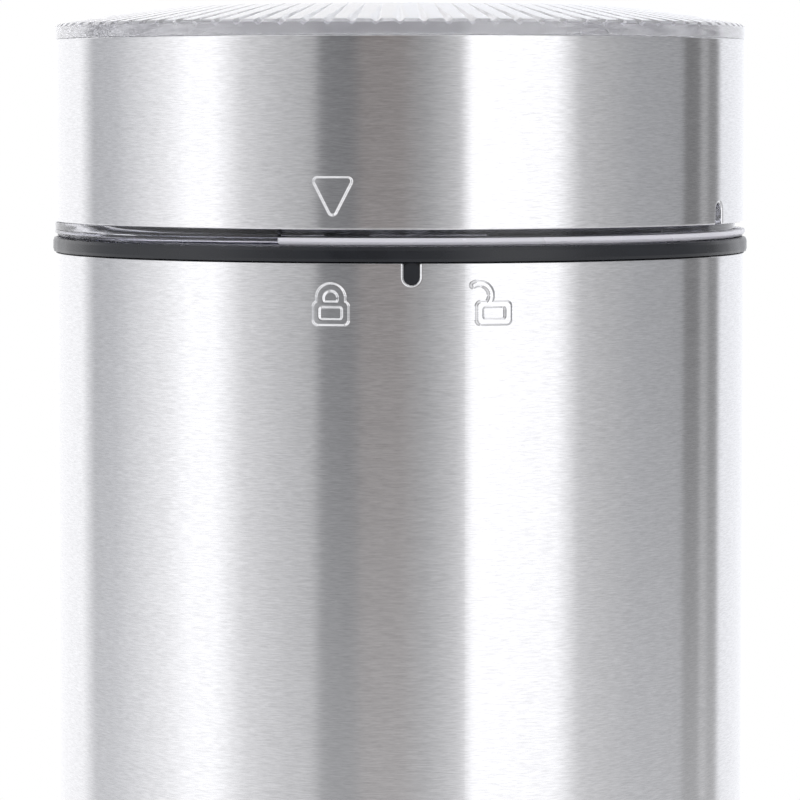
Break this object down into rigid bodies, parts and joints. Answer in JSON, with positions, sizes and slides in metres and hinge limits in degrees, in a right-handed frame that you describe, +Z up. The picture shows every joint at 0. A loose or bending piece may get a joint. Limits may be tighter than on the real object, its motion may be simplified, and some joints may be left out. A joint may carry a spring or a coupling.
{
  "type": "burr coffee grinder",
  "caption": "Cylindrical cordless conical burr coffee grinder: twist-lock clear lid over a bean hopper, adjustable burrs, geared motor, and a pull-off grounds cup.",
  "frame": {"origin": "middle of the foot's underside", "axes": "+Z up along the body's axis, -Y towards the front with the power button, +X to the viewer's right"},
  "size_m": [0.0904, 0.0904, 0.2083],
  "materials": {
    "steel_shell": "circumferentially brushed",
    "clear_plastic": "clear moulded",
    "black_plastic": "satin, finely textured",
    "smoke_plastic": "smooth",
    "frame_plastic": "moulded",
    "ring_plastic": "satin",
    "gear_plastic": "self-lubricating",
    "gear_case": "die-cast",
    "burr_steel": "hardened and ground",
    "shaft_steel": "ground",
    "screw_steel": "zinc plated",
    "motor_case": "plated",
    "magnet": "sintered",
    "lamination": "laminated",
    "copper": "enamelled or bare copper",
    "sinter": "sintered bronze and cut brass",
    "carbon": "carbon",
    "seal": "soft",
    "clear_seal": "translucent silicone",
    "button_black": "satin",
    "bezel": "turned",
    "lens": "frosted",
    "cell_wrap": null,
    "board": "solder-masked",
    "port_metal": "plated",
    "wire": "insulated"
  },
  "bodies": {
    "housing": {"hopper": "black_plastic", "body_sleeve": "steel_shell", "chassis": "frame_plastic", "grind_chamber": "frame_plastic", "grounds_chute": "frame_plastic", "base_cap": "black_plastic", "body_magnets": "magnet", "tie_screws": "screw_steel", "interlock_switch": "button_black", "carrier_springs": "screw_steel", "shaft_seal": "seal", "spindle_bearing": "shaft_steel", "gearbox_housing": "gear_case", "shaft_bushes": "sinter", "motor_plate": "gear_case", "drive_screws": "screw_steel", "motor_can": "motor_case", "motor_magnets": "magnet", "motor_end_cap": "frame_plastic", "motor_brushes": "carbon", "button_bezel": "bezel", "button_spring": "screw_steel", "switch_board": "board", "status_lens": "lens", "battery_cells": "cell_wrap", "control_board": "board", "lid_latch": "screw_steel", "usb_socket": "port_metal", "wiring": "wire"},
    "lock_ring": {"lock_ring": "frame_plastic"},
    "lid": {"lid_cover": "clear_plastic", "lid_band": "steel_shell", "lid_liner": "clear_plastic", "lid_seal": "clear_seal"},
    "interlock_pin": {"interlock_pin": "ring_plastic"},
    "burr_carrier": {"burr_carrier": "gear_case", "ring_burr": "burr_steel", "burr_screws": "screw_steel"},
    "adjust_ring": {"adjust_ring": "ring_plastic"},
    "spindle": {"spindle": "shaft_steel", "planet_carrier": "shaft_steel", "sweeper": "frame_plastic", "cone_burr": "burr_steel", "burr_nut": "screw_steel"},
    "planet_1": {"planet_gear_1": "gear_plastic"},
    "planet_2": {"planet_gear_2": "gear_plastic"},
    "planet_3": {"planet_gear_3": "gear_plastic"},
    "rotor": {"motor_shaft": "shaft_steel", "motor_armature": "lamination", "motor_windings": "copper", "commutator": "copper", "sun_gear": "sinter"},
    "button": {"power_button": "button_black"},
    "cup": {"cup_liner": "smoke_plastic", "cup_shell": "steel_shell", "cup_base": "black_plastic", "foot_pad": "seal", "cup_seal": "seal", "cup_magnets": "magnet"},
    "port_cover": {"port_cover": "seal"}
  },
  "joints": [
    {"name": "lid_turn", "type": "hinge", "parent": "housing", "child": "lock_ring", "pos_m": [0, 0, 0.166], "axis": [0, 0, 1], "range_deg": [0, 25]},
    {"name": "lid_lift", "type": "slide", "parent": "lock_ring", "child": "lid", "axis": [0, 0, 1], "range_m": [0, 0.04], "deforming": ["lid_latch"]},
    {"name": "interlock_rise", "type": "slide", "parent": "housing", "child": "interlock_pin", "axis": [0, 0, 1], "range_m": [0, 0.0012]},
    {"name": "grind_adjust", "type": "hinge", "parent": "burr_carrier", "child": "adjust_ring", "pos_m": [0, 0, 0.152], "axis": [0, 0, 1], "range_deg": [-150, 150]},
    {"name": "burr_feed", "type": "slide", "parent": "housing", "child": "burr_carrier", "axis": [0, 0, 1], "range_m": [-0.00052, 0.00052], "deforming": ["carrier_springs"]},
    {"name": "spindle_spin", "type": "hinge", "parent": "housing", "child": "spindle", "pos_m": [0, 0, 0.13], "axis": [0, 0, 1], "continuous": true},
    {"name": "motor_spin", "type": "hinge", "parent": "housing", "child": "rotor", "pos_m": [0, 0, 0.085], "axis": [0, 0, 1], "continuous": true},
    {"name": "button_press", "type": "slide", "parent": "housing", "child": "button", "axis": [0, 1, 0], "range_m": [0, 0.0012], "stiffness_N_per_m": 700, "springref_m": -0.0012, "deforming": ["button_spring"]},
    {"name": "cup_pull", "type": "slide", "parent": "housing", "child": "cup", "axis": [0, 0, -1], "range_m": [0, 0.06]},
    {"name": "port_cover_swing", "type": "hinge", "parent": "housing", "child": "port_cover", "pos_m": [0, 0.04485, 0.06425], "axis": [-1, 0, 0], "range_deg": [0, 95]},
    {"name": "planet_1_spin", "type": "hinge", "parent": "spindle", "child": "planet_1", "pos_m": [0.01125, 0, 0.1147], "axis": [0, 0, 1], "continuous": true},
    {"name": "planet_2_spin", "type": "hinge", "parent": "spindle", "child": "planet_2", "pos_m": [-0.00562, 0.00974, 0.1147], "axis": [0, 0, 1], "continuous": true},
    {"name": "planet_3_spin", "type": "hinge", "parent": "spindle", "child": "planet_3", "pos_m": [-0.00562, -0.00974, 0.1147], "axis": [0, 0, 1], "continuous": true}
  ],
  "couplings": [
    {"joint": "interlock_rise", "follows": "lid_turn", "m_per_rad": 0.00275},
    {"joint": "grind_adjust", "follows": "burr_feed", "rad_per_m": 5026.5},
    {"joint": "motor_spin", "follows": "spindle_spin", "ratio": 5},
    {"joint": "planet_1_spin", "follows": "spindle_spin", "ratio": -2.6667},
    {"joint": "planet_2_spin", "follows": "spindle_spin", "ratio": -2.6667},
    {"joint": "planet_3_spin", "follows": "spindle_spin", "ratio": -2.6667}
  ]
}
